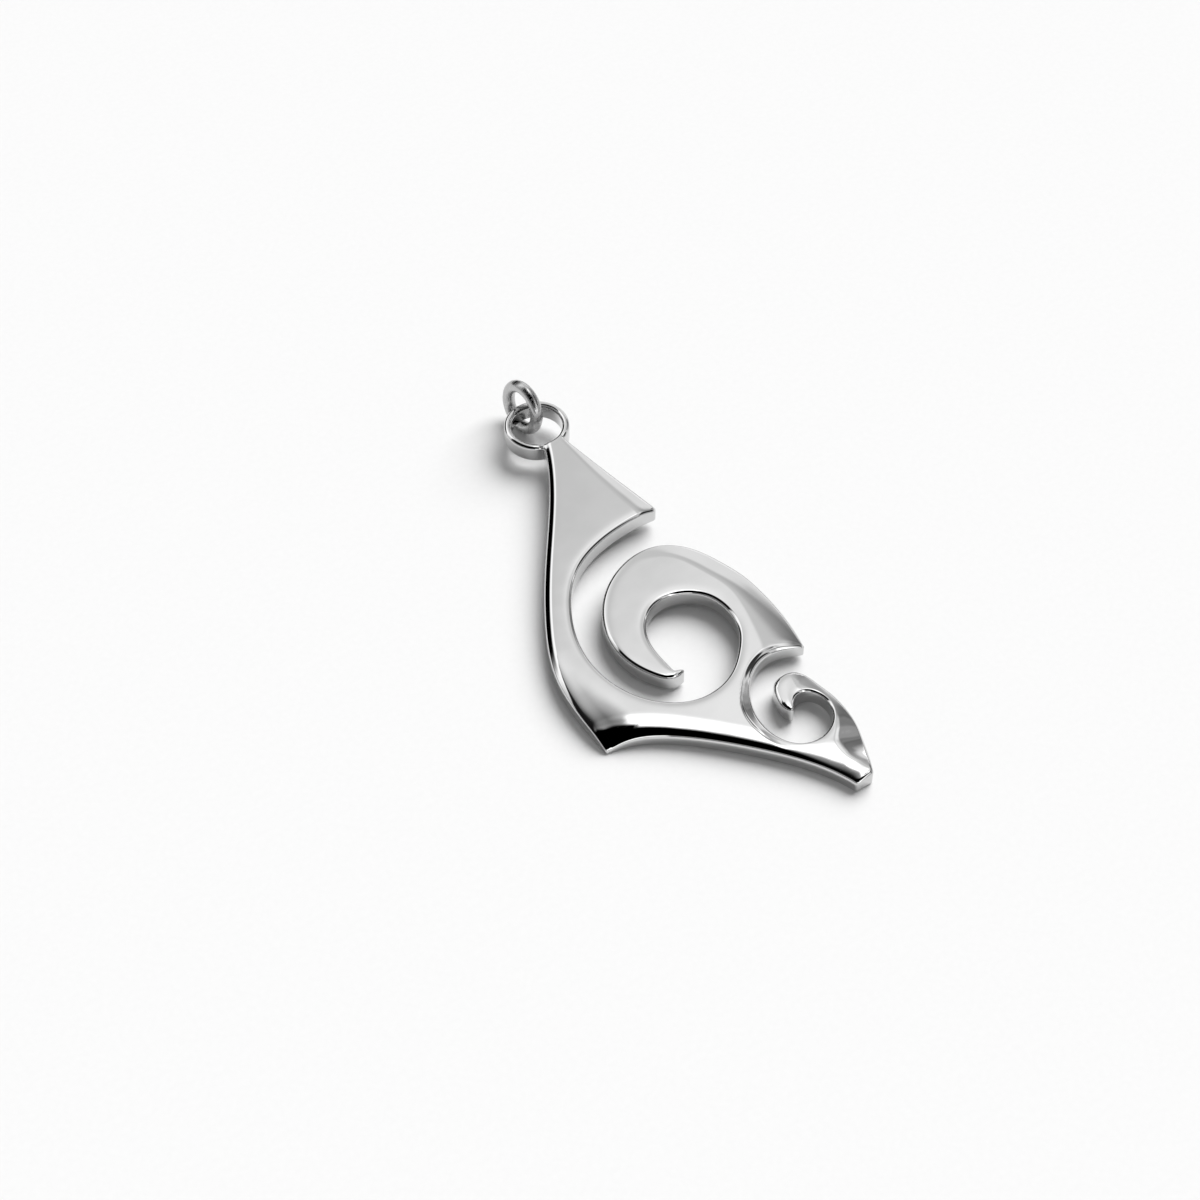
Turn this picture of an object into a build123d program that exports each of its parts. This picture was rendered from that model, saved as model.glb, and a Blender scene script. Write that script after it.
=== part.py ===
from build123d import *
import math
import os

# Leaf pendant of polished steel: a flat scroll-cut plate with its eye, and the jump ring through it.
# Units are millimetres. The finished part lies on its back: +Z is up, +Y runs from the far end
# towards the eye, and the floor is z = 0 with the origin under the middle of the part.

# Plate, measured along and across the leaf from the middle of the eye
LEAF_LENGTH = 42.0
LEAF_WIDTH = 18.0
PLATE_THICKNESS = 1.5
BIG_SCROLL_RADIUS = 3.5
SMALL_SCROLL_RADIUS = 1.85
END_WIDTH = 1.5

# Eye
EYE_BORE = 4.1
EYE_BAND = 0.58

# Widest round of a corner, polished round of the upper edges, widest and deepest sloping rim
CORNER_ROUND = 0.4
EDGE_ROUND = 0.2
RIM_WIDTH = 2.7
RIM_FALL = 0.76

# Jump ring: its play round the eye's band, the gap under the band where it rests, the turn about the
# eye of its middle, the turn of its axis in plan, and how far it leans over
RING_WIRE = 1.0
RING_PLAY = 0.5
SEAT_GAP = 0.06
RING_PLACE_TURN = 85.0
RING_AXIS_TURN = 4.0
RING_LEAN = 8.0
RING_BORE = math.hypot(PLATE_THICKNESS, EYE_BAND) + 2 * RING_PLAY

# Middles of the two scrolls: shares of the leaf's width and length
BIG_SCROLL_PLACE = (-0.122, -0.574)
SMALL_SCROLL_PLACE = (0.006, -0.838)

# Scroll walls: turn in degrees about the scroll's middle, reach as a share of the scroll's radius
BIG_SCROLL_WALL = [
    (66, 3.55), (88, 3.25), (111, 3.00), (133, 2.67), (157, 2.42), (185, 2.20), (213, 2.00),
    (238, 1.77), (265, 1.41), (295, 1.08), (328, 0.96), (367, 0.94), (399, 1.01), (430, 1.06),
    (459, 1.09), (490, 1.04), (518, 0.98), (547, 0.98), (572, 1.13),
]
WAVE_BACK = [
    (225, 1.02), (212, 1.37), (196, 1.48), (168, 1.69), (140, 1.94), (114, 2.20), (90, 2.44),
    (70, 2.53), (55, 2.39), (38, 2.13), (20, 1.98), (2, 1.92), (-16, 1.99), (-44, 2.41),
]
SMALL_SCROLL_WALL = [
    (61, 3.42), (82, 3.33), (100, 2.98), (116, 2.58), (135, 2.18), (162, 1.79), (190, 1.57),
    (219, 1.42), (253, 1.20), (279, 1.04), (312, 0.95), (350, 0.97), (382, 1.05), (415, 1.11),
    (440, 0.99), (462, 0.76), (490, 0.60),
]
SMALL_WAVE_BACK = [
    (128, 0.97), (118, 1.29), (110, 1.53), (102, 1.82), (94, 2.04), (83, 2.15), (72, 2.19),
    (61, 2.10), (49, 1.86), (34, 1.60), (14, 1.48), (-10, 1.50), (-35, 1.75), (-60, 2.32),
]

# Outer contour: shares of the leaf's width and length
LEAF_CORNER = (-0.752, -0.686)
BOTTOM_EDGE = [(-0.108, -0.934), (-0.256, -0.846), (-0.422, -0.768), (-0.617, -0.704)]
LEFT_EDGE = [(-0.756, -0.620), (-0.728, -0.520), (-0.610, -0.410), (-0.404, -0.282), (-0.201, -0.167)]
NECK_LEFT_TURN = 250.0
NECK_RIGHT_TURN = 293.0

# Rounds of the plan's corners as shares of the widest
CORNER_ROUNDS = {
    "first_tip": 1.0, "second_tip": 0.5, "curl_inside": 0.4, "curl_outside": 0.4,
    "small_curl": 0.4, "end_right": 0.9, "end_left": 0.9, "leaf_corner": 0.5,
}

# Sloping rims: share along the stretch, share of the widest rim and share of the deepest fall
RIMS = [
    ("first_barb", [(0.00, 0.13, 0.06), (0.35, 0.34, 0.28), (1.00, 0.52, 0.46)]),
    ("wave_back", [(0.46, 0.05, 0.01), (0.64, 0.59, 0.44), (1.00, 0.64, 0.55)]),
    ("small_scroll", [(0.12, 0.11, 0.08), (0.25, 0.22, 0.24), (0.45, 0.24, 0.28), (0.60, 0.06, 0.06)]),
    ("small_wave_back", [(0.36, 0.05, 0.01), (0.75, 0.41, 0.40), (1.00, 0.48, 0.50)]),
    ("bottom_edge", [(0.00, 0.40, 0.42), (1.00, 0.45, 0.50)]),
    ("left_edge", [(0.00, 0.22, 0.46), (1.00, 0.15, 0.33)]),
    ("left_edge", [(0.00, 1.00, 0.66), (0.16, 0.87, 0.22), (0.32, 0.60, 0.01)]),
]
RIM_STEPS = 12
RIM_OVERRUN = 0.6


def leaf_point(across, along):
    """A point of the plate's plan from its shares of the leaf's width and length."""
    return (across * LEAF_WIDTH, along * LEAF_LENGTH)


def polar_point(middle, turn, reach):
    """The point at a turn in degrees and a reach in millimetres from a middle."""
    angle = math.radians(turn)
    return (middle[0] + reach * math.cos(angle), middle[1] + reach * math.sin(angle))


def scroll_points(place, radius, rows):
    """The points of a scroll wall from its rows of turn and reach."""
    middle = leaf_point(*place)
    return [polar_point(middle, turn, reach * radius) for turn, reach in rows]


def leaf_contour():
    """The named stretches of the plate's contour, clockwise from the neck."""
    eye_radius = EYE_BORE / 2 + EYE_BAND
    neck_left = polar_point((0, 0), NECK_LEFT_TURN, eye_radius)
    neck_right = polar_point((0, 0), NECK_RIGHT_TURN, eye_radius)
    big_wall = scroll_points(BIG_SCROLL_PLACE, BIG_SCROLL_RADIUS, BIG_SCROLL_WALL)
    wave_back = scroll_points(BIG_SCROLL_PLACE, BIG_SCROLL_RADIUS, WAVE_BACK)
    small_wall = scroll_points(SMALL_SCROLL_PLACE, SMALL_SCROLL_RADIUS, SMALL_SCROLL_WALL)
    small_back = scroll_points(SMALL_SCROLL_PLACE, SMALL_SCROLL_RADIUS, SMALL_WAVE_BACK)
    end_right = (END_WIDTH / 2, -LEAF_LENGTH)
    end_left = (-END_WIDTH / 2, -LEAF_LENGTH)
    corner = leaf_point(*LEAF_CORNER)
    bottom = [leaf_point(*row) for row in BOTTOM_EDGE]
    left = [leaf_point(*row) for row in LEFT_EDGE]
    return {
        "first_barb": Line(neck_right, big_wall[0]),
        "big_scroll": Spline(*big_wall),
        "curl_end": Line(big_wall[-1], wave_back[0]),
        "wave_back": Spline(*wave_back),
        "small_scroll": Spline(wave_back[-1], *small_wall),
        "small_wave_back": Spline(small_wall[-1], *small_back, end_right),
        "leaf_end": Line(end_right, end_left),
        "bottom_edge": Spline(end_left, *bottom, corner),
        "left_edge": Spline(corner, *left, neck_left),
        "neck": Line(neck_left, neck_right),
    }


def rim_size(rows, share):
    """A rim's width and fall at a share of its stretch, straight between the rows on either side."""
    for (start, start_width, start_fall), (end, end_width, end_fall) in zip(rows, rows[1:]):
        if share <= end:
            break
    part_way = (share - start) / (end - start)
    width = start_width + (end_width - start_width) * part_way
    fall = start_fall + (end_fall - start_fall) * part_way
    return width * RIM_WIDTH, fall * RIM_FALL


def rim_section(point, tangent, width, fall):
    """The upright section of a rim cutter at one point of the contour."""
    inward = Vector(tangent.Y, -tangent.X)
    crease = point + inward * width
    outer = point - inward * RIM_OVERRUN
    outer_height = PLATE_THICKNESS - fall * (width + RIM_OVERRUN) / width
    cleared_height = 2 * PLATE_THICKNESS
    return Face(Wire.make_polygon([
        Vector(crease.X, crease.Y, PLATE_THICKNESS), Vector(outer.X, outer.Y, outer_height),
        Vector(outer.X, outer.Y, cleared_height), Vector(crease.X, crease.Y, cleared_height),
    ]))


def rim_cutter(edge, rows):
    """The solid above a sloping rim, carried straight on past the open ends of its stretch."""
    first, last = rows[0][0], rows[-1][0]
    sections = []
    for step in range(RIM_STEPS + 1):
        share = first + (last - first) * step / RIM_STEPS
        sections.append(rim_section(edge @ share, edge % share, *rim_size(rows, share)))
    if first == 0:
        before = edge @ 0 - (edge % 0) * RIM_OVERRUN
        sections.insert(0, rim_section(before, edge % 0, *rim_size(rows, first)))
    if last == 1:
        after = edge @ 1 + (edge % 1) * RIM_OVERRUN
        sections.append(rim_section(after, edge % 1, *rim_size(rows, last)))
    return loft(sections)


def rounded_plan(contour):
    """The plan of the plate with its corners rounded."""
    corners = {
        "first_tip": contour["first_barb"] @ 1, "second_tip": contour["wave_back"] @ 1,
        "curl_inside": contour["curl_end"] @ 0, "curl_outside": contour["curl_end"] @ 1,
        "small_curl": contour["small_scroll"] @ 1, "end_right": contour["leaf_end"] @ 0,
        "end_left": contour["leaf_end"] @ 1, "leaf_corner": contour["left_edge"] @ 0,
    }
    plan = Face(Wire(list(contour.values())))
    for name, place in corners.items():
        vertex = plan.vertices().sort_by_distance(place)[0]
        plan = plan.fillet_2d(CORNER_ROUNDS[name] * CORNER_ROUND, [vertex])
    return plan


def flat_plate():
    """The plate with its eye, its back on z = 0 and the middle of the eye over the origin."""
    contour = leaf_contour()
    plate = Solid.extrude(rounded_plan(contour), Vector(0, 0, PLATE_THICKNESS))
    plate = plate + Solid.make_cylinder(EYE_BORE / 2 + EYE_BAND, PLATE_THICKNESS)
    plate = plate - Solid.make_cylinder(EYE_BORE / 2, PLATE_THICKNESS)
    plate = plate.fillet(EDGE_ROUND, plate.faces().sort_by(Axis.Z)[-1].edges())
    for name, rows in RIMS:
        plate = plate - rim_cutter(contour[name], rows)
    return plate


def ring_middle():
    """The middle of the jump ring's hole in plan: in the middle of the eye's band."""
    return polar_point((0, 0), RING_PLACE_TURN, EYE_BORE / 2 + EYE_BAND / 2)


def rest_tilt(corner, end):
    """The degrees that the plate leans about its two resting corners to seat its eye in the ring."""
    along = (end - corner).normalized()
    arm = (Vector(*ring_middle()) - corner).cross(along).length
    bore_radius = RING_BORE / 2
    curve_of_seat = bore_radius - math.sqrt(bore_radius ** 2 - (EYE_BAND / 2) ** 2)
    return math.degrees(math.asin((RING_WIRE + curve_of_seat + SEAT_GAP) / arm))


def scroll_plate():
    """The plate at rest, leaning on its corner and its far end with the eye over the ring's wire."""
    contour = leaf_contour()
    end, corner = contour["bottom_edge"] @ 0, contour["bottom_edge"] @ 1
    leaning = flat_plate().rotate(Axis(corner, corner - end), -rest_tilt(corner, end))
    return leaning.moved(Location((0, 0, -leaning.bounding_box().min.Z)))


def jump_ring():
    """The closed ring, its foot on the floor, leaning a little across the eye's band."""
    wire_reach = (RING_BORE + RING_WIRE) / 2
    lean = math.radians(RING_LEAN)
    x, y = ring_middle()
    axis = polar_point((0, 0), RING_AXIS_TURN, math.cos(lean)) + (-math.sin(lean),)
    middle = (x, y, wire_reach * math.cos(lean) + RING_WIRE / 2)
    return Solid.make_torus(wire_reach, RING_WIRE / 2, Plane(origin=middle, z_dir=axis))


def main():
    """Build the pieces, put the origin under the middle of the part and write one file for each."""
    os.makedirs("parts", exist_ok=True)
    pieces = {"scroll_plate": scroll_plate(), "jump_ring": jump_ring()}
    box = Compound(list(pieces.values())).bounding_box()
    to_origin = Location((-box.center().X, -box.center().Y, -box.min.Z))
    for name, piece in pieces.items():
        export_step(piece.moved(to_origin), f"parts/{name}.step")


if __name__ == "__main__":
    main()
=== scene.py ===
import math

import bpy
import numpy as np
from mathutils import Matrix, Vector
from mathutils.geometry import delaunay_2d_cdt
from mathutils.kdtree import KDTree


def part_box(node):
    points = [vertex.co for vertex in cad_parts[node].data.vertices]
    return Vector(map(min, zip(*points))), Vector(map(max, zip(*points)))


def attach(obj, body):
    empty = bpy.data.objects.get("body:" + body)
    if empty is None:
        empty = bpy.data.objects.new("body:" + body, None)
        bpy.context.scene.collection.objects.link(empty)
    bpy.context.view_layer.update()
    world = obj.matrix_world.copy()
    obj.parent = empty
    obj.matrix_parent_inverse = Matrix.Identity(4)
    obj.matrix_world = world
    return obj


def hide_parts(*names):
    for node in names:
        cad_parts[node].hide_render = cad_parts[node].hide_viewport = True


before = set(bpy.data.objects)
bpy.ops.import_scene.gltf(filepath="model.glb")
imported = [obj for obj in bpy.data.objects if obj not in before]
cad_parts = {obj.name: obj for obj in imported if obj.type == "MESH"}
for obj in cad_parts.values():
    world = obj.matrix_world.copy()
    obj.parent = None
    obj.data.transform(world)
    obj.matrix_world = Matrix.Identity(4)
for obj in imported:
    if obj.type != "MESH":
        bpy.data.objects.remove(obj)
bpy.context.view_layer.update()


# Camera. It stands at the leaf's lower left, about 20 cm off and half way up the sky, with a
# moderate tele lens, so that the pendant lies across the middle of a square picture.
CAMERA_PLACE = (-0.07731, -0.10622, 0.15550)
CAMERA_AZIMUTH = -35.18
CAMERA_ELEVATION = 49.5
LENS = 80.0
SENSOR_WIDTH = 36.0
CLIP_START = 0.005
CLIP_END = 20.0

camera = bpy.data.objects.new("camera", bpy.data.cameras.new("camera"))
bpy.context.scene.collection.objects.link(camera)
camera.location = CAMERA_PLACE
camera.rotation_euler = (math.radians(90 - CAMERA_ELEVATION), 0, math.radians(CAMERA_AZIMUTH))
camera.data.lens = LENS
camera.data.sensor_width = SENSOR_WIDTH
camera.data.clip_start, camera.data.clip_end = CLIP_START, CLIP_END
bpy.context.scene.camera = camera


# Scroll plate. One stainless casting, 1.5 mm thick, cut through in two curling waves, with its
# eye at the top. Its face is ground flat, its rims slope away where the wheel took them down,
# and buffing has rolled every edge over and left the whole as bright as a mirror.
# The sizes are millimetres, along and across the leaf from the middle of the eye.
MILLIMETRE = 0.001
LEAF_LENGTH = 42.0
LEAF_WIDTH = 18.0
PLATE_THICKNESS = 1.5
BIG_SCROLL_RADIUS = 3.5
SMALL_SCROLL_RADIUS = 1.85
END_WIDTH = 1.5
EYE_BORE = 4.1
EYE_BAND = 0.58
CORNER_ROUND = 0.4

# Outline. Places are shares of the leaf's width and length. Walls are turns in degrees and reaches
# round the middle of their scroll, the reaches as shares of its radius.
BIG_SCROLL_PLACE = (-0.122, -0.574)
SMALL_SCROLL_PLACE = (0.006, -0.838)
BIG_SCROLL_WALL = [
    (66, 3.55), (88, 3.25), (111, 3.00), (133, 2.67), (157, 2.42), (185, 2.20), (213, 2.00),
    (238, 1.77), (265, 1.41), (295, 1.08), (328, 0.96), (367, 0.94), (399, 1.01), (430, 1.06),
    (459, 1.09), (490, 1.04), (518, 0.98), (547, 0.98), (572, 1.13),
]
WAVE_BACK = [
    (225, 1.02), (212, 1.37), (196, 1.48), (168, 1.69), (140, 1.94), (114, 2.20), (90, 2.44),
    (70, 2.53), (55, 2.39), (38, 2.13), (20, 1.98), (2, 1.92), (-16, 1.99), (-44, 2.41),
]
SMALL_SCROLL_WALL = [
    (61, 3.42), (82, 3.33), (100, 2.98), (116, 2.58), (135, 2.18), (162, 1.79), (190, 1.57),
    (219, 1.42), (253, 1.20), (279, 1.04), (312, 0.95), (350, 0.97), (382, 1.05), (415, 1.11),
    (440, 0.99), (462, 0.76), (490, 0.60),
]
SMALL_WAVE_BACK = [
    (128, 0.97), (118, 1.29), (110, 1.53), (102, 1.82), (94, 2.04), (83, 2.15), (72, 2.19),
    (61, 2.10), (49, 1.86), (34, 1.60), (14, 1.48), (-10, 1.50), (-35, 1.75), (-60, 2.32),
]
LEAF_CORNER = (-0.752, -0.686)
BOTTOM_EDGE = [(-0.108, -0.934), (-0.256, -0.846), (-0.422, -0.768), (-0.617, -0.704)]
LEFT_EDGE = [(-0.756, -0.620), (-0.728, -0.520), (-0.610, -0.410), (-0.404, -0.282), (-0.201, -0.167)]
NECK_LEFT_TURN = 250.0
NECK_RIGHT_TURN = 293.0

# The corner at the end of each stretch, clockwise from the neck, as a share of CORNER_ROUND
STRETCH_ENDS = {
    "first_barb": 1.0, "big_scroll": 0.4, "curl_end": 0.4, "wave_back": 0.5, "small_scroll": 0.4,
    "small_wave_back": 0.9, "leaf_end": 0.9, "bottom_edge": 0.5,
}

# Sloping rims. Each row is a share along the stretch, then the rim's width and the softness of its
# crease as shares of RIM_WIDTH, and its fall at the edge as a share of RIM_FALL. The left edge has
# two: a narrow one all along, and the broad ground corner where it starts. A rim that reaches the
# end of its stretch fades out over RIM_OVERRUN beyond it. Its line takes every RIM_STRIDE-th dot.
RIM_WIDTH = 2.7
RIM_FALL = 0.76
RIM_BLEND = 4
RIM_OVERRUN = 1.2
RIM_STRIDE = 3
RIMS = [
    ("first_barb", [(0.00, 0.13, 0.07, 0.06), (0.35, 0.34, 0.12, 0.28), (1.00, 0.52, 0.15, 0.46)]),
    ("wave_back", [
        (0.46, 0.25, 0.10, 0.00), (0.64, 0.59, 0.12, 0.44), (0.80, 0.60, 0.20, 0.50),
        (0.90, 0.64, 0.42, 0.56), (1.00, 0.70, 0.55, 0.62),
    ]),
    ("small_wave_back", [
        (0.28, 0.36, 0.12, 0.00), (0.38, 0.46, 0.12, 0.22), (0.47, 0.44, 0.12, 0.30),
        (0.60, 0.42, 0.11, 0.40), (0.72, 0.58, 0.11, 0.58), (0.80, 0.74, 0.12, 0.76),
        (0.87, 0.70, 0.16, 0.60), (0.93, 0.54, 0.22, 0.27), (1.00, 0.36, 0.30, 0.00),
    ]),
    ("left_edge", [(0.00, 0.14, 0.05, 0.30), (0.20, 0.16, 0.05, 0.36), (1.00, 0.15, 0.05, 0.33)]),
    ("left_edge", [
        (0.00, 0.98, 0.42, 0.72), (0.08, 0.95, 0.42, 0.47), (0.16, 0.85, 0.36, 0.24),
        (0.24, 0.72, 0.30, 0.09), (0.32, 0.55, 0.30, 0.00),
    ]),
]

# Rims that step down at their crease by STEP_SHARE of their fall, with the same columns
STEP_SHARE = 0.4
STEPPED_RIMS = [
    ("small_scroll", [
        (0.00, 0.24, 0.050, 0.24), (0.08, 0.17, 0.050, 0.20), (0.20, 0.16, 0.050, 0.21),
        (0.28, 0.20, 0.050, 0.27), (0.37, 0.31, 0.060, 0.44), (0.47, 0.28, 0.070, 0.34),
        (0.60, 0.18, 0.070, 0.00),
    ]),
]

# Where buffing has rolled the face over more widely, with the same columns but no crease
ROLLS = [
    ("bottom_edge", [
        (0.00, 1.00, 1.00, 0.53), (0.15, 0.85, 1.00, 0.47), (0.35, 0.67, 1.00, 0.45),
        (0.70, 0.70, 1.00, 0.54), (0.85, 0.77, 1.00, 0.65), (1.00, 0.84, 1.00, 0.75),
    ]),
]

# Rounds of the edges. Where metal is crowded, ROUND_TRIALS smaller ones are tried down to the least,
# and within ROUND_REACH points of there the round grows by no more than ROUND_GROWTH a point.
EDGE_ROUND = 0.26
EYE_ROUND = 0.26
SHARP_ROUND = 0.12
LEAST_ROUND = 0.06
CROWDED_SHARE = 0.97
ROUND_TRIALS = 13
ROUND_REACH = 30
ROUND_GROWTH = 0.02
ROUND_TURNS = (15, 30, 45, 60, 75, 90)
BACK_ROUND = 0.08
BACK_TURNS = (30, 60, 90)

# The soft roll-off that the buffing wheel left near every edge: its fall at a straight edge, how far
# it reaches, and the grid that it is worked out on, which is BUFF_TAIL reaches deep at each cell
BUFF_FALL = 0.045
BUFF_REACH = 0.35
BUFF_TAIL = 3
BUFF_CELL = 0.1
BUFF_MARGIN = 2

# Spacing of points: along the outline and the finer stretches that it is cut from, with the dots at
# each end in which its corner is looked for, in the rows beside it, and in the field between
OUTLINE_STEP = 0.1
FINE_STEP = 0.01
CORNER_DOTS = 260
ROW_STEP = 0.07
FACE_ROWS = 12
FACE_STEP = 0.11
FACE_ROW_SHARE = math.sqrt(0.75)
FACE_GAP_SHARE = 0.6

# Small distances: over which a slope is measured, and by which neighbouring points are told apart
SLOPE_STEP = 0.04
ROW_SLACK = 1e-4
SIDE_WEIGHT = 1e-6
MERGE_DISTANCE = 1e-7


def leaf_point(across, along):
    """A point of the plan from its shares of the leaf's width and length."""
    return (across * LEAF_WIDTH, along * LEAF_LENGTH)


def polar_point(middle, turn, reach):
    """The point at a turn in degrees and a reach from a middle."""
    angle = math.radians(turn)
    return (middle[0] + reach * math.cos(angle), middle[1] + reach * math.sin(angle))


def hermite(x, knots, values, slopes):
    """The smooth curve through values at knots, with a slope at each."""
    i = np.clip(np.searchsorted(knots, x, side="right") - 1, 0, len(knots) - 2)
    gap = np.diff(knots)[i]
    t = (x - knots[i]) / gap
    if values.ndim > 1:
        gap, t = gap[:, None], t[:, None]
    return (
        (1 + 2 * t) * (1 - t) ** 2 * values[i] + t * (1 - t) ** 2 * gap * slopes[i]
        + t * t * (3 - 2 * t) * values[i + 1] + t * t * (t - 1) * gap * slopes[i + 1]
    )


def straight_line(start, end, step):
    """Points every step or so along a straight stretch."""
    count = max(2, round(math.dist(start, end) / step))
    share = np.linspace(0, 1, count + 1)[:, None]
    return np.array(start) * (1 - share) + np.array(end) * share


def end_slope(points, knots, at):
    """The slope, at one of its knots, of the cubic through four points."""
    slope = np.zeros(2)
    for i in range(4):
        others = [j for j in range(4) if j != i]
        scale = np.prod([knots[i] - knots[j] for j in others])
        for j in others:
            slope += points[i] * np.prod([at - knots[k] for k in others if k != j]) / scale
    return slope


def smooth_line(points, step):
    """Points every step or so along the cubic spline through the given ones."""
    points = np.array(points, float)
    knots = np.concatenate([[0], np.cumsum(np.hypot(*np.diff(points, axis=0).T))])
    gaps, runs, last = np.diff(knots), np.diff(points, axis=0), len(points) - 1
    rule, wanted = np.eye(last + 1), np.zeros((last + 1, 2))
    wanted[0] = end_slope(points[:4], knots[:4], knots[0])
    wanted[last] = end_slope(points[-4:], knots[-4:], knots[-1])
    for i in range(1, last):
        before, after = gaps[i - 1], gaps[i]
        rule[i, i - 1:i + 2] = after, 2 * (before + after), before
        wanted[i] = 3 * (after * runs[i - 1] / before + before * runs[i] / after)
    slopes = np.linalg.solve(rule, wanted)
    reach = np.linspace(0, knots[-1], max(8, round(knots[-1] / step)) + 1)
    return hermite(reach, knots, points, slopes)


def headings(line):
    """The unit heading at each point of a line."""
    heading = np.gradient(line, axis=0)
    return heading / np.hypot(*heading.T)[:, None]


def to_the_right(heading):
    """Headings turned a right angle clockwise: into the plate, which its outline goes round clockwise."""
    return np.stack([heading[:, 1], -heading[:, 0]], axis=1)


def plate_stretches(step):
    """The named stretches of the outline, with sharp corners between them."""
    eye_radius = EYE_BORE / 2 + EYE_BAND
    big, small = leaf_point(*BIG_SCROLL_PLACE), leaf_point(*SMALL_SCROLL_PLACE)
    big_wall = [polar_point(big, turn, reach * BIG_SCROLL_RADIUS) for turn, reach in BIG_SCROLL_WALL]
    wave_back = [polar_point(big, turn, reach * BIG_SCROLL_RADIUS) for turn, reach in WAVE_BACK]
    small_wall = [polar_point(small, turn, reach * SMALL_SCROLL_RADIUS) for turn, reach in SMALL_SCROLL_WALL]
    small_back = [polar_point(small, turn, reach * SMALL_SCROLL_RADIUS) for turn, reach in SMALL_WAVE_BACK]
    end_right, end_left = (END_WIDTH / 2, -LEAF_LENGTH), (-END_WIDTH / 2, -LEAF_LENGTH)
    corner = leaf_point(*LEAF_CORNER)
    bottom, left = [leaf_point(*row) for row in BOTTOM_EDGE], [leaf_point(*row) for row in LEFT_EDGE]
    return {
        "first_barb": straight_line(polar_point((0, 0), NECK_RIGHT_TURN, eye_radius), big_wall[0], step),
        "big_scroll": smooth_line(big_wall, step),
        "curl_end": straight_line(big_wall[-1], wave_back[0], step),
        "wave_back": smooth_line(wave_back, step),
        "small_scroll": smooth_line([wave_back[-1], *small_wall], step),
        "small_wave_back": smooth_line([small_wall[-1], *small_back, end_right], step),
        "leaf_end": straight_line(end_right, end_left, step),
        "bottom_edge": smooth_line([end_left, *bottom, corner], step),
        "left_edge": smooth_line([corner, *left, polar_point((0, 0), NECK_LEFT_TURN, eye_radius)], step),
    }


def first_crossing(before, after):
    """Where the end of one line crosses the start of the next: the two places along them and the point."""
    for i in range(len(before) - 2, -1, -1):
        run, runs, gap = before[i + 1] - before[i], after[1:] - after[:-1], after[:-1] - before[i]
        across = run[0] * runs[:, 1] - run[1] * runs[:, 0]
        along = (gap[:, 0] * runs[:, 1] - gap[:, 1] * runs[:, 0]) / across
        beside = (gap[:, 0] * run[1] - gap[:, 1] * run[0]) / across
        hits = np.flatnonzero((along >= 0) & (along <= 1) & (beside >= 0) & (beside <= 1))
        if len(hits):
            return i, hits[0], before[i] + along[hits[0]] * run
    raise ValueError("two stretches of the outline have no round between them")


def corner_round(before, after, radius, step):
    """The round between two stretches: its points, and the dots where it leaves one and joins the other."""
    heading_in, heading_out = headings(before)[-CORNER_DOTS:], headings(after)[:CORNER_DOTS]
    bend = heading_in[-1][0] * heading_out[0][1] - heading_in[-1][1] * heading_out[0][0]
    side = 1 if bend < 0 else -1
    start = before[-CORNER_DOTS:] + to_the_right(heading_in) * radius * side
    end = after[:CORNER_DOTS] + to_the_right(heading_out) * radius * side
    i, joins, middle = first_crossing(start, end)
    leaves = len(before) - len(start) + i
    first, last = before[leaves] - middle, after[joins] - middle
    first_turn, last_turn = math.atan2(first[1], first[0]), math.atan2(last[1], last[0])
    sweep = (last_turn - first_turn) % math.tau - (math.tau if side > 0 else 0)
    count = max(6, round(abs(sweep) * radius / (step / 2)))
    turns = np.linspace(first_turn, first_turn + sweep, count + 1)[1:-1]
    return middle + radius * np.stack([np.cos(turns), np.sin(turns)], axis=1), leaves, joins


def plate_outline(step):
    """The closed, rounded outline, clockwise, the stretch that each point belongs to, and the stretches."""
    lines = plate_stretches(FINE_STEP)
    names = list(lines)
    rounds, leaves, joins = {}, {names[-1]: len(lines[names[-1]]) - 1}, {names[0]: 0}
    for name, following in zip(names, names[1:]):
        radius = STRETCH_ENDS[name] * CORNER_ROUND
        made = corner_round(lines[name], lines[following], radius, step)
        rounds[name], leaves[name], joins[following] = made
    points, owners = [], []
    for name in names:
        low, high = joins[name], leaves[name]
        count = max(2, round((high - low) * FINE_STEP / step))
        points.append(lines[name][np.linspace(low, high, count + 1).round().astype(int)])
        owners += [name] * (count + 1)
        if name in rounds:
            points.append(rounds[name])
            owners += [name + "_round"] * len(rounds[name])
    eye_radius = EYE_BORE / 2 + EYE_BAND
    count = round(math.radians(NECK_LEFT_TURN + 360 - NECK_RIGHT_TURN) * eye_radius / step)
    eye_turns = np.linspace(NECK_LEFT_TURN, NECK_RIGHT_TURN - 360, count + 1)[1:-1]
    points.append(np.array([polar_point((0, 0), turn, eye_radius) for turn in eye_turns]))
    owners += ["eye"] * len(eye_turns)
    return np.concatenate(points), owners, lines


def nearest_dot(line, points):
    """For each point the place in a dotted line of its nearest dot, and how far off that is."""
    tree = KDTree(len(line))
    for i, (x, y) in enumerate(line):
        tree.insert((x, y, 0), i)
    tree.balance()
    found = [tree.find((x, y, 0)) for x, y in points]
    return np.array([i for _, i, _ in found]), np.array([away for _, _, away in found])


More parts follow.
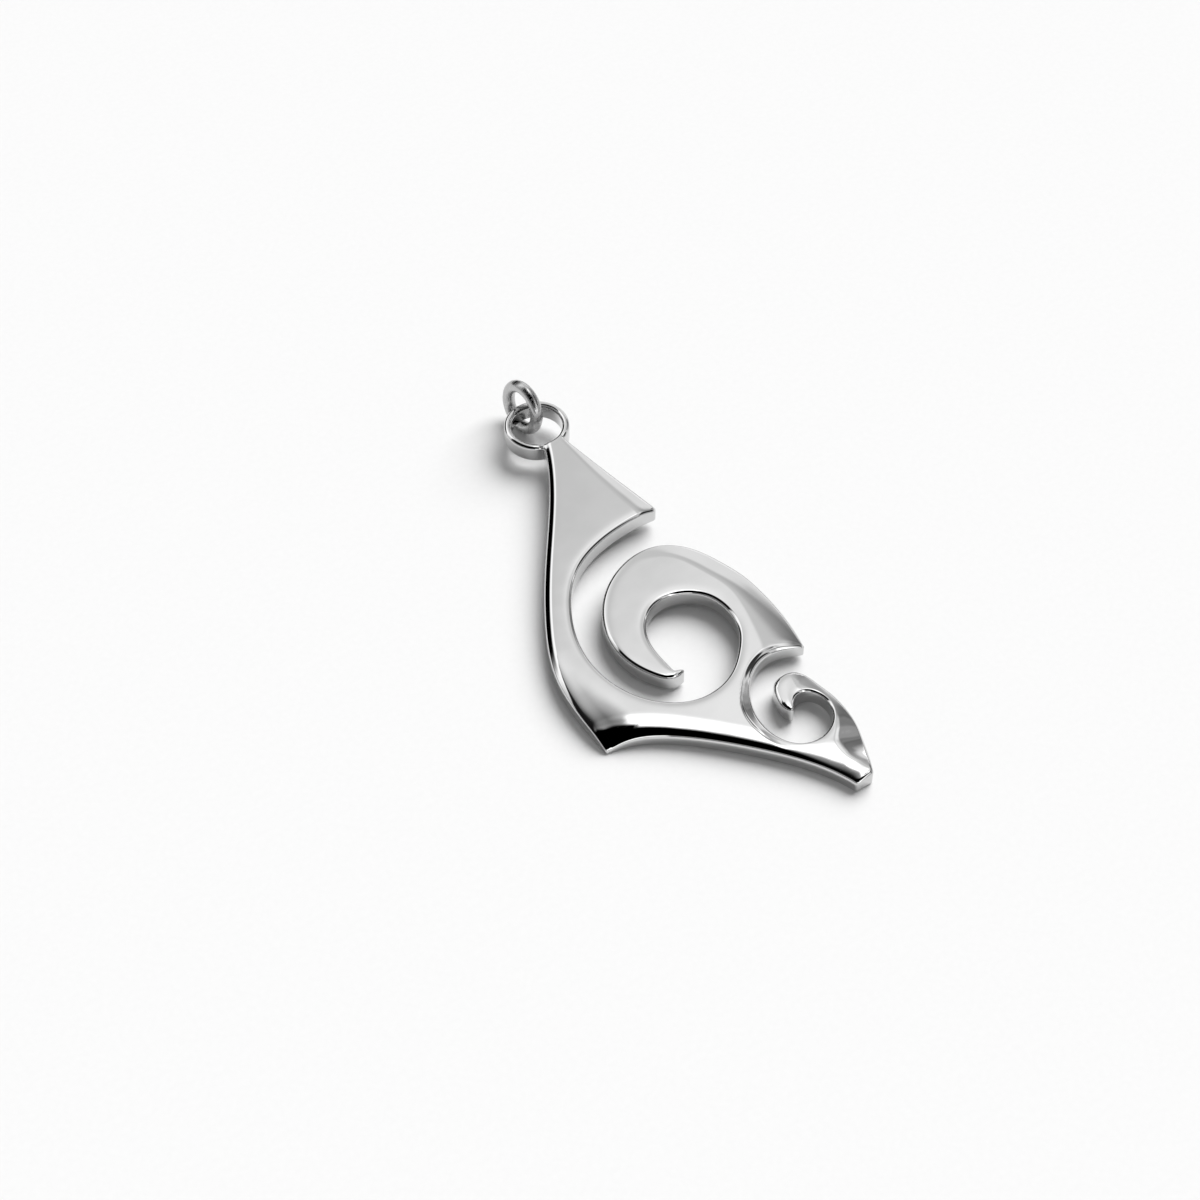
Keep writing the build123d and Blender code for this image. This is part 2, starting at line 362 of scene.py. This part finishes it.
def nearest_on(line, points, closed=False):
    """For each point its distance to a closely dotted line, positive on its right, and its share along it."""
    nearest, _ = nearest_dot(line, points)
    run = np.roll(line, -1, axis=0) - line
    length = np.hypot(*run.T)
    last = len(line) - (1 if closed else 2)
    passed = np.concatenate([[0], np.cumsum(length)])
    best, distance, share = np.full((3, len(points)), np.inf)
    for step in (-1, 0):
        j = (nearest + step) % len(line) if closed else np.clip(nearest + step, 0, last)
        gap = points - line[j]
        part = np.clip((gap * run[j]).sum(axis=1) / length[j] ** 2, 0, 1)
        off = gap - part[:, None] * run[j]
        away = np.hypot(*off.T)
        beside = (off[:, 0] * run[j, 1] - off[:, 1] * run[j, 0]) / length[j]
        # At a corner both runs are as near, and the one seen more squarely tells the side
        score = away - SIDE_WEIGHT * np.abs(beside)
        nearer = score < best
        best = np.where(nearer, score, best)
        distance = np.where(nearer, np.copysign(away, beside), distance)
        share = np.where(nearer, (passed[j] + part * length[j]) / passed[last + 1], share)
    return distance, share


def ramp(x, half):
    """A slope's profile: nothing before 0, x after it, and a parabola of that half-width between."""
    return np.where(x < -half, 0, np.where(x > half, x, (x + half) ** 2 / (4 * half)))


def stepped(x, half):
    """As the ramp, but a share of its rise is taken in one soft step at its start."""
    t = np.clip((x + half) / (2 * half), 0, 1)
    return (1 - STEP_SHARE) * ramp(x, half) + STEP_SHARE * t * t * (3 - 2 * t)


def rolled(x, half):
    """A roll's profile: a parabola from 0 on, whatever the crease."""
    return np.maximum(x, 0) ** 2


def rim_slopes(shares, values):
    """The slope of a rim's size at each of its rows: none where it starts from or runs out to nothing."""
    return np.where(values == 0, 0, np.gradient(values, shares))


def rim_fall(line, rows, points, profile):
    """How far one rim lies below the face at each point of the plan. It fades out past its ends."""
    low, high = rows[0][0], rows[-1][0]
    count = len(line) - 1
    line = line[round(low * count):round(high * count) + 1:RIM_STRIDE]
    length = np.hypot(*np.diff(line, axis=0).T).sum()
    heading = headings(line)
    before, after = RIM_OVERRUN * (low == 0), RIM_OVERRUN * (high == 1)
    past = np.arange(OUTLINE_STEP, RIM_OVERRUN + OUTLINE_STEP / 2, OUTLINE_STEP)[:, None]
    if before:
        line = np.vstack([line[0] - heading[0] * past[::-1], line])
    if after:
        line = np.vstack([line, line[-1] + heading[-1] * past])
    distance, share = nearest_on(line, points)
    past_end = ((share <= 0) & (not before)) | ((share >= 1) & (not after))
    passed = share * (length + before + after) - before
    along = low + (high - low) * np.clip(passed / length, 0, 1)
    fade = np.clip(1 - np.maximum(-passed, passed - length) / RIM_OVERRUN, 0, 1)
    shares, *sizes = np.array(rows).T
    width, crease, fall = [hermite(along, shares, size, rim_slopes(shares, size)) for size in sizes]
    part = 1 - np.abs(distance) / (width * RIM_WIDTH)
    return np.where(past_end, 0, fall * RIM_FALL * fade * profile(part, np.minimum(crease / width, 1)))


def rim_falls(lines, points):
    """How far the face lies below its flat at each point of the plan."""
    slopes = [rim_fall(lines[name], rows, points, ramp) for name, rows in RIMS]
    slopes += [rim_fall(lines[name], rows, points, stepped) for name, rows in STEPPED_RIMS]
    rolls = [rim_fall(lines[name], rows, points, rolled) for name, rows in ROLLS]
    blended = np.sum(np.array(slopes) ** RIM_BLEND, axis=0) ** (1 / RIM_BLEND)
    return blended + np.max(rolls, axis=0)


def buffed_field(edge_distance, low, high):
    """Twice the share of metal missing round each point of the plan: 1 at a straight edge, 0 well inside.
    What comes back gives that and its two slopes at any points."""
    across = np.arange(low[0] - BUFF_MARGIN, high[0] + BUFF_MARGIN, BUFF_CELL)
    along = np.arange(low[1] - BUFF_MARGIN, high[1] + BUFF_MARGIN, BUFF_CELL)
    grid = np.stack(np.meshgrid(across, along), axis=-1)
    metal = np.clip(0.5 + edge_distance(grid.reshape(-1, 2)) / BUFF_CELL, 0, 1).reshape(grid.shape[:2])
    cells = round(BUFF_TAIL * BUFF_REACH / BUFF_CELL)
    weight = np.exp(-(np.arange(-cells, cells + 1) * BUFF_CELL / BUFF_REACH) ** 2 / 2)
    weight /= weight.sum()
    for axis in (0, 1):
        metal = np.apply_along_axis(lambda line: np.convolve(line, weight, mode="same"), axis, metal)
    missing = 2 * (1 - metal)
    slope_along, slope_across = np.gradient(missing, BUFF_CELL)

    def at(points):
        place = (points - (across[0], along[0])) / BUFF_CELL
        corner = np.floor(place).astype(int)
        part = place - corner
        found = []
        for layer in (missing, slope_across, slope_along):
            value = 0
            for x in (0, 1):
                for y in (0, 1):
                    share = np.abs(1 - x - part[:, 0]) * np.abs(1 - y - part[:, 1])
                    value = value + share * layer[corner[:, 1] + y, corner[:, 0] + x]
            found.append(value)
        return found

    return at


def metal_triangles(plan, outline_count, bore_count):
    """Triangles between points of the plan, the outline's first and then the bore's, where there is metal."""
    edges = [(i, (i + 1) % outline_count) for i in range(outline_count)]
    edges += [(outline_count + i, outline_count + (i + 1) % bore_count) for i in range(bore_count)]
    _, _, found, *_ = delaunay_2d_cdt([Vector(p) for p in plan], edges, [], 0, MERGE_DISTANCE)
    found = np.array(found)
    for ring in (plan[:outline_count], plan[outline_count:outline_count + bore_count]):
        distance, _ = nearest_on(ring, plan[found].mean(axis=1), closed=True)
        found = found[distance > 0]
    return found


def edge_rounds(rim, into, owners, edge_distance):
    """The radius of the edge's round at each point of the rim, the outline's owners first and then the
    bore. It is as large as the metal beside it allows, and narrows gently towards the tips."""
    radius = np.full(len(rim), EDGE_ROUND)
    for trial in np.linspace(EDGE_ROUND, LEAST_ROUND, ROUND_TRIALS):
        crowded = edge_distance(rim + into * trial) < trial * CROWDED_SHARE
        radius[crowded] = trial - (EDGE_ROUND - LEAST_ROUND) / (ROUND_TRIALS - 1)
    radius = np.maximum(radius, LEAST_ROUND)
    radius[[i for i, owner in enumerate(owners) if owner == "eye"]] = EYE_ROUND
    sharp = [i for i, owner in enumerate(owners) if owner == "left_edge"]
    radius[sharp] = np.minimum(radius[sharp], SHARP_ROUND)
    radius[len(owners):] = EYE_ROUND
    for _ in range(ROUND_REACH):
        radius = np.minimum(radius, np.minimum(np.roll(radius, 1), np.roll(radius, -1)) + ROUND_GROWTH)
    return radius


def plate_plan(rim, into, radius, edge_distance):
    """The plan's points: the edges, rows of points that follow them closely, and an even field between.
    For those on the rows also the point of the rim that each belongs to and its turn over the edge."""
    plan, feet, turns = [rim], [np.arange(len(rim))], [np.zeros(len(rim))]
    rows = [(radius * (1 - math.cos(math.radians(turn))), turn) for turn in ROUND_TURNS]
    rows += [(radius + (k + 1) * ROW_STEP, 90) for k in range(FACE_ROWS)]
    for reach, turn in rows:
        row = rim + into * reach[:, None]
        kept = np.flatnonzero(edge_distance(row) > reach - ROW_SLACK)
        plan.append(row[kept])
        feet.append(kept)
        turns.append(np.full(len(kept), float(turn)))
    low, high = rim.min(axis=0), rim.max(axis=0)
    across = np.arange(low[0], high[0], FACE_STEP)
    along = np.arange(low[1], high[1], FACE_STEP * FACE_ROW_SHARE)
    field = np.array([(x + FACE_STEP / 2 * (k % 2), y) for k, y in enumerate(along) for x in across])
    field = field[edge_distance(field) > FACE_STEP / 2]
    foot, _ = nearest_dot(rim, field)
    _, to_rows = nearest_dot(np.vstack(plan), field)
    inside = edge_distance(field) > radius[foot] + FACE_STEP / 2
    plan.append(field[inside & (to_rows > FACE_STEP * FACE_GAP_SHARE)])
    return np.vstack(plan), np.concatenate(feet), np.radians(np.concatenate(turns))


def polished_face(plan, lines, buffed):
    """The face at each point of the plan, the flat less its rims and its buffed roll-off, and its normal."""
    drop, drop_x, drop_y = buffed(plan)
    slope_x, slope_y = [
        (rim_falls(lines, plan + step) - rim_falls(lines, plan - step)) / (2 * SLOPE_STEP)
        for step in np.eye(2) * SLOPE_STEP
    ]
    height = PLATE_THICKNESS - rim_falls(lines, plan) - BUFF_FALL * drop
    slopes = (slope_x + BUFF_FALL * drop_x, slope_y + BUFF_FALL * drop_y)
    normal = np.stack([*slopes, np.ones(len(plan))], axis=1)
    return height, normal / np.linalg.norm(normal, axis=1)[:, None]


def plate_mesh():
    """The plate in the leaf's own frame, in millimetres, with the true normal at each vertex."""
    outline, owners, lines = plate_outline(OUTLINE_STEP)
    bore_count = round(math.pi * EYE_BORE / OUTLINE_STEP)
    bore_turns = np.linspace(0, 360, bore_count, endpoint=False)
    bore = np.array([polar_point((0, 0), turn, EYE_BORE / 2) for turn in bore_turns])
    heading = np.roll(outline, -1, axis=0) - np.roll(outline, 1, axis=0)
    outline_in = to_the_right(heading / np.hypot(*heading.T)[:, None])
    rim, into = np.vstack([outline, bore]), np.vstack([outline_in, bore / (EYE_BORE / 2)])

    def edge_distance(points):
        to_outline, _ = nearest_on(outline, points, closed=True)
        return np.minimum(to_outline, np.hypot(*points.T) - EYE_BORE / 2)

    # Face: at the rows over the edge it is lowered by the round and turned outwards
    radius = edge_rounds(rim, into, owners, edge_distance)
    plan, feet, turns = plate_plan(rim, into, radius, edge_distance)
    buffed = buffed_field(edge_distance, outline.min(axis=0), outline.max(axis=0))
    height, normal = polished_face(plan, lines, buffed)
    count = len(feet)
    height[:count] -= radius[feet] * (1 - np.sin(turns))
    outward = np.column_stack([-into[feet], np.zeros(count)])
    lift = np.sin(np.minimum(turns, math.pi / 2))[:, None]
    normal[:count] = lift * normal[:count] + np.sqrt(1 - lift ** 2) * outward
    normal /= np.linalg.norm(normal, axis=1)[:, None]
    points, normals = [np.column_stack([plan, height])], [normal]
    faces = [tuple(int(i) for i in face) for face in metal_triangles(plan, len(outline), bore_count)]

    # Wall and back: rings below the two edges, round the back's edge and down to a flat back
    above = np.arange(len(rim))
    for turn in (0, *np.radians(BACK_TURNS)):
        below = sum(len(p) for p in points) + np.arange(len(rim))
        inset, level = BACK_ROUND * (1 - math.cos(turn)), BACK_ROUND * (1 - math.sin(turn))
        points.append(np.column_stack([rim + into * inset, np.full(len(rim), level)]))
        normals.append(np.column_stack([-into * math.cos(turn), np.full(len(rim), -math.sin(turn))]))
        for ring in (np.arange(len(outline)), np.arange(len(outline), len(rim))):
            for i, j in zip(ring, np.roll(ring, -1)):
                faces.append((above[i], above[j], below[j], below[i]))
        above = below
    back = metal_triangles(points[-1][:, :2], len(outline), bore_count)
    faces += [tuple(above[i] for i in reversed(face)) for face in back]
    return np.vstack(points), np.vstack(normals), faces


def shaped_object(name, points, normals, faces):
    """An object at the origin from points in metres, shaded by the true normal of each."""
    mesh = bpy.data.meshes.new(name)
    mesh.from_pydata(points.tolist(), [], faces)
    mesh.shade_smooth()
    mesh.normals_split_custom_set_from_vertices(normals.tolist())
    made = bpy.data.objects.new(name, mesh)
    bpy.context.scene.collection.objects.link(made)
    return made


# It leans on its lower corner and its far end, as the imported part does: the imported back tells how
BACK_FACING = -0.995
back_normal = Vector((0, 0, 0))
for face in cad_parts["scroll_plate"].data.polygons:
    if face.normal.z < BACK_FACING:
        back_normal -= face.normal * face.area
lean = np.array(Vector((0, 0, 1)).rotation_difference(back_normal.normalized()).to_matrix())
plate_points, plate_normals, plate_faces = plate_mesh()
plate_points, plate_normals = plate_points @ lean.T * MILLIMETRE, plate_normals @ lean.T
node_low, node_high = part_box("scroll_plate")
middle = (plate_points.min(axis=0) + plate_points.max(axis=0)) / 2
shift = (np.array(node_low) + np.array(node_high)) / 2 - middle
shift[2] = node_low.z - plate_points[:, 2].min()
plate = shaped_object("polished_scroll_plate", plate_points + shift, plate_normals, plate_faces)


# Polished steel: a grey tone with faint clouds, fine lines from the buffing wheel, a slightly wavy
# surface. Scales are per metre. The middle part of the noise is spread over each range.
NOISE_RANGE = (0.3, 0.7)
GREY_DETAIL = 3.0
CLOUD_SCALE = 260.0
CLOUD_TONE = 0.02
BUFFING_SCALE = (600.0, 14000.0, 600.0)
BUFFING_DETAIL = 4.0
BUFFING_SPREAD = 0.4
WAVE_SCALE = 330.0
WAVE_DETAIL = 1.0
MIRROR_FINISH = {"grey": 0.62, "roughness": 0.04, "waviness": 1.2e-5, "scratches": 4e-7, "buffing_turn": 25.0}
WIRE_FINISH = {"grey": 0.50, "roughness": 0.26, "waviness": 6e-6, "scratches": 5e-8, "buffing_turn": 0.0}


def add(tree, kind, inputs, **settings):
    """A node with its settings and inputs: a socket among the inputs is linked, a value is set."""
    made = tree.nodes.new(kind)
    for key, value in settings.items():
        setattr(made, key, value)
    for key, value in inputs.items():
        if isinstance(value, bpy.types.NodeSocket):
            tree.links.new(value, made.inputs[key])
        else:
            made.inputs[key].default_value = value
    return made


def remapped(tree, value, low, high, start, end, interpolation_type="LINEAR"):
    """The value carried from the range start to end to the range low to high."""
    inputs = {"Value": value, "From Min": start, "From Max": end, "To Min": low, "To Max": high}
    return add(tree, "ShaderNodeMapRange", inputs, interpolation_type=interpolation_type).outputs["Result"]


def noise(tree, place, scale, detail):
    """Soft noise at a place."""
    return add(tree, "ShaderNodeTexNoise", {"Vector": place, "Scale": scale, "Detail": detail}).outputs["Fac"]


def grey_noise(tree, place, scale, low, high):
    """The colour of a grey that wanders between two tones."""
    tone = remapped(tree, noise(tree, place, scale, GREY_DETAIL), low, high, *NOISE_RANGE)
    return add(tree, "ShaderNodeCombineColor", {0: tone, 1: tone, 2: tone}).outputs[0]


def bump(tree, height, distance, inputs):
    """The normal over a surface whose height moves it by up to a distance in metres."""
    inputs = {"Height": height, "Strength": 1.0, "Distance": distance, **inputs}
    return add(tree, "ShaderNodeBump", inputs).outputs[0]


def polished_steel(name, grey, roughness, waviness, scratches, buffing_turn):
    """Stainless steel of a grey tone. The waviness and the scratches are heights in metres."""
    material = bpy.data.materials.new(name)
    material.use_nodes = True
    tree = material.node_tree
    shader = tree.nodes["Principled BSDF"]
    shader.inputs["Metallic"].default_value = 1.0
    place = add(tree, "ShaderNodeTexCoord", {}).outputs["Object"]
    tone = grey_noise(tree, place, CLOUD_SCALE, grey - CLOUD_TONE, grey + CLOUD_TONE)
    tree.links.new(tone, shader.inputs["Base Color"])
    inputs = {"Vector": place, "Rotation": (0, 0, math.radians(buffing_turn)), "Scale": BUFFING_SCALE}
    lines = noise(tree, add(tree, "ShaderNodeMapping", inputs).outputs[0], 1.0, BUFFING_DETAIL)
    least, most = roughness * (1 - BUFFING_SPREAD), roughness * (1 + BUFFING_SPREAD)
    tree.links.new(remapped(tree, lines, least, most, *NOISE_RANGE), shader.inputs["Roughness"])
    wavy = bump(tree, noise(tree, place, WAVE_SCALE, WAVE_DETAIL), waviness, {})
    tree.links.new(bump(tree, lines, scratches, {"Normal": wavy}), shader.inputs["Normal"])
    return material


plate.data.materials.append(polished_steel("mirror_steel", **MIRROR_FINISH))
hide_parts("scroll_plate")
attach(plate, "root")


# Jump ring. Stainless wire of 1 mm bent round to a closed ring of 4.6 mm, which passes through the
# eye, stands on its edge and leans a little to one side. It is less bright than the plate.
RING_WIRE = 1.0
RING_REACH = 1.804
RING_AXIS_TURN = 4.0
RING_LEAN = 8.0
RING_SIDES = 160
WIRE_SIDES = 64


def ring_nodes():
    """The tree that bends a round wire into a ring and gives it its steel."""
    tree = bpy.data.node_groups.new("bent_wire_ring", "GeometryNodeTree")
    for name, kind in (
        ("Reach", "NodeSocketFloat"), ("Wire Radius", "NodeSocketFloat"), ("Ring Sides", "NodeSocketInt"),
        ("Wire Sides", "NodeSocketInt"), ("Steel", "NodeSocketMaterial"),
    ):
        tree.interface.new_socket(name, in_out="INPUT", socket_type=kind)
    tree.interface.new_socket("Geometry", in_out="OUTPUT", socket_type="NodeSocketGeometry")
    given = tree.nodes.new("NodeGroupInput").outputs
    bend, wire = [
        add(tree, "GeometryNodeCurvePrimitiveCircle", {"Resolution": given[sides], "Radius": given[radius]})
        for sides, radius in (("Ring Sides", "Reach"), ("Wire Sides", "Wire Radius"))
    ]
    inputs = {"Curve": bend.outputs["Curve"], "Profile Curve": wire.outputs["Curve"]}
    drawn = add(tree, "GeometryNodeCurveToMesh", inputs)
    inputs = {"Geometry": drawn.outputs["Mesh"], "Shade Smooth": True}
    smooth = add(tree, "GeometryNodeSetShadeSmooth", inputs)
    real = add(tree, "GeometryNodeRealizeInstances", {"Geometry": smooth.outputs["Geometry"]})
    inputs = {"Geometry": real.outputs["Geometry"], "Material": given["Steel"]}
    coated = add(tree, "GeometryNodeSetMaterial", inputs)
    add(tree, "NodeGroupOutput", {"Geometry": coated.outputs["Geometry"]})
    return tree


def grown(name, tree, values):
    """The plain mesh object that a Geometry Nodes tree makes from its named inputs."""
    seed = bpy.data.objects.new(name + "_seed", bpy.data.meshes.new(name + "_seed"))
    bpy.context.scene.collection.objects.link(seed)
    modifier = seed.modifiers.new("grow", "NODES")
    modifier.node_group = tree
    for item in tree.interface.items_tree:
        if item.in_out == "INPUT":
            modifier[item.identifier] = values[item.name]
    evaluated = seed.evaluated_get(bpy.context.evaluated_depsgraph_get())
    mesh = bpy.data.meshes.new_from_object(evaluated)
    seed.modifiers.remove(modifier)
    bpy.data.objects.remove(seed)
    mesh.name = name
    made = bpy.data.objects.new(name, mesh)
    bpy.context.scene.collection.objects.link(made)
    return made


ring = grown("polished_jump_ring", ring_nodes(), {
    "Reach": RING_REACH * MILLIMETRE, "Wire Radius": RING_WIRE / 2 * MILLIMETRE, "Ring Sides": RING_SIDES,
    "Wire Sides": WIRE_SIDES, "Steel": polished_steel("wire_steel", **WIRE_FINISH),
})
axis_turn, axis_lean = math.radians(RING_AXIS_TURN), math.radians(RING_LEAN)
level = math.cos(axis_lean)
ring_axis = Vector((math.cos(axis_turn) * level, math.sin(axis_turn) * level, -math.sin(axis_lean)))
ring_low, ring_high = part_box("jump_ring")
turned = Vector((0, 0, 1)).rotation_difference(ring_axis).to_matrix().to_4x4()
ring.data.transform(Matrix.Translation((ring_low + ring_high) / 2) @ turned)
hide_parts("jump_ring")
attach(ring, "root")


# Floor. A sheet of pale, faintly grainy paper under the pendant, 1.2 m wide so that its edges stay
# out of the picture.
FLOOR_REACH = 0.6
PAPER_GREYS = (0.813, 0.827)
PAPER_ROUGHNESS = 0.9
GRAIN_SCALE = 2200.0


def pale_paper():
    """Matt paper whose pale grey wanders a little from grain to grain."""
    material = bpy.data.materials.new("pale_paper")
    material.use_nodes = True
    tree = material.node_tree
    shader = tree.nodes["Principled BSDF"]
    shader.inputs["Roughness"].default_value = PAPER_ROUGHNESS
    place = add(tree, "ShaderNodeTexCoord", {}).outputs["Object"]
    tree.links.new(grey_noise(tree, place, GRAIN_SCALE, *PAPER_GREYS), shader.inputs["Base Color"])
    return material


floor_corners = [(x * FLOOR_REACH, y * FLOOR_REACH, 0) for x, y in ((-1, -1), (1, -1), (1, 1), (-1, 1))]
floor_mesh = bpy.data.meshes.new("floor")
floor_mesh.from_pydata(floor_corners, [], [(0, 1, 2, 3)])
floor = bpy.data.objects.new("floor", floor_mesh)
bpy.context.scene.collection.objects.link(floor)
floor.data.materials.append(pale_paper())


# Studio light. A soft light from the far right that lights the floor and casts the shadows, and a
# bright room whose white panels and dark screens are what the polished steel mirrors.
KEY_SPREAD = 50
KEY_ENERGY = 4.16
KEY_TILT = 46
KEY_SIDE = 35
FLOOR_FILL = 0.28

key = bpy.data.objects.new("key", bpy.data.lights.new("key", "SUN"))
bpy.context.scene.collection.objects.link(key)
key.data.angle = math.radians(KEY_SPREAD)
key.data.energy = KEY_ENERGY
key.visible_glossy = False
key.rotation_euler = (math.radians(KEY_TILT), 0, math.radians(CAMERA_AZIMUTH + 180 - KEY_SIDE))

# Each panel or screen: its strength, and the edges that bound it. An edge is a soft step along one
# direction from its first number to its second. The directions are to the right of the room as the
# photo looks at it, away and up, and three slanting ones: of its seam, its corner and a panel's cut.
SEAM_START = 0.577
SEAM_SLANT = 0.711
CORNER_SLANT = 1.2
CUT_SLANT = 0.4
WHITE_ROOM = 0.86
WHITE_PANELS = [
    (0.38, [("seam", 0.08, -0.05), ("cut", 0.33, 0.27), ("right", -0.12, -0.05)]),
    (1.10, [("seam", -0.06, -0.24), ("cut", 0.36, 0.30), ("right", -0.11, -0.07)]),
    (0.70, [("seam", 0.02, 0.08), ("right", -0.05, -0.20), ("away", 0.76, 0.68)]),
    (0.44, [("right", 0.10, 0.20), ("away", 0.15, 0.35), ("away", 0.60, 0.54)]),
    (0.25, [("away", 0.76, 0.84), ("right", -0.10, 0.10), ("up", 0.12, 0.24)]),
    (0.90, [("up", 0.24, 0.30), ("up", 0.42, 0.34), ("away", 0.30, 0.50), ("right", -0.30, -0.10)]),
]
DARK_SCREENS = [
    (1.00, [("away", 0.06, -0.06), ("right", 0.55, 0.35), ("right", -0.60, -0.45), ("up", 0.24, 0.38)]),
    (0.95, [("cut", 0.50, 0.60), ("away", 0.45, 0.35), ("up", 0.28, 0.40)]),
    (0.98, [("right", -0.07, -0.23), ("seam", 0.06, 0.00), ("up", 0.30, 0.44)]),
    (0.45, [("right", -0.06, -0.11), ("away", 0.34, 0.12)]),
    (1.00, [("corner", -1.16, -1.38), ("up", -0.20, 0.00)]),
    (0.74, [("right", 0.00, 0.48), ("away", 0.62, 0.68), ("away", 0.82, 0.73)]),
    (0.66, [("right", 0.30, 0.42), ("away", 0.40, 0.50), ("away", 0.70, 0.62)]),
    (0.70, [("up", 0.22, 0.10)]),
]

world = bpy.data.worlds.new("studio")
bpy.context.scene.world = world
world.use_nodes = True
world.cycles.sampling_method = "NONE"
studio = world.node_tree
studio.nodes.clear()


def studio_math(operation, a, b):
    """A sum, difference or product of two values in the studio's light."""
    return add(studio, "ShaderNodeMath", {0: a, 1: b}, operation=operation).outputs[0]


look = add(studio, "ShaderNodeTexCoord", {}).outputs["Generated"]
facing = add(studio, "ShaderNodeVectorRotate", {"Vector": look, "Angle": -math.radians(CAMERA_AZIMUTH)},
             rotation_type="Z_AXIS").outputs[0]
right, away, up = add(studio, "ShaderNodeSeparateXYZ", {0: facing}).outputs
past_seam = studio_math("SUBTRACT", away, SEAM_START)
directions = {
    "right": right, "away": away, "up": up,
    "seam": studio_math("SUBTRACT", past_seam, studio_math("MULTIPLY", right, SEAM_SLANT)),
    "corner": studio_math("SUBTRACT", right, studio_math("MULTIPLY", away, CORNER_SLANT)),
    "cut": studio_math("ADD", right, studio_math("MULTIPLY", away, CUT_SLANT)),
}


def panel(strength, edges):
    """How strongly one panel or screen is seen in each direction."""
    seen = strength
    for direction, start, end in edges:
        edge = remapped(studio, directions[direction], 0.0, 1.0, start, end, "SMOOTHSTEP")
        seen = studio_math("MULTIPLY", edge, seen)
    return seen


def white_light(strength):
    """Even white light of a strength that may differ by direction."""
    return add(studio, "ShaderNodeBackground", {"Color": (1, 1, 1, 1), "Strength": strength}).outputs[0]


glow = WHITE_ROOM
for strength, edges in WHITE_PANELS:
    glow = studio_math("ADD", panel(strength, edges), glow)
for strength, edges in DARK_SCREENS:
    glow = studio_math("MULTIPLY", glow, studio_math("SUBTRACT", 1.0, panel(strength, edges)))
glossy = add(studio, "ShaderNodeLightPath", {}).outputs["Is Glossy Ray"]
room = add(studio, "ShaderNodeMixShader", {0: glossy, 1: white_light(FLOOR_FILL), 2: white_light(glow)})
add(studio, "ShaderNodeOutputWorld", {"Surface": room.outputs[0]})

bpy.context.scene.view_settings.view_transform = "Standard"
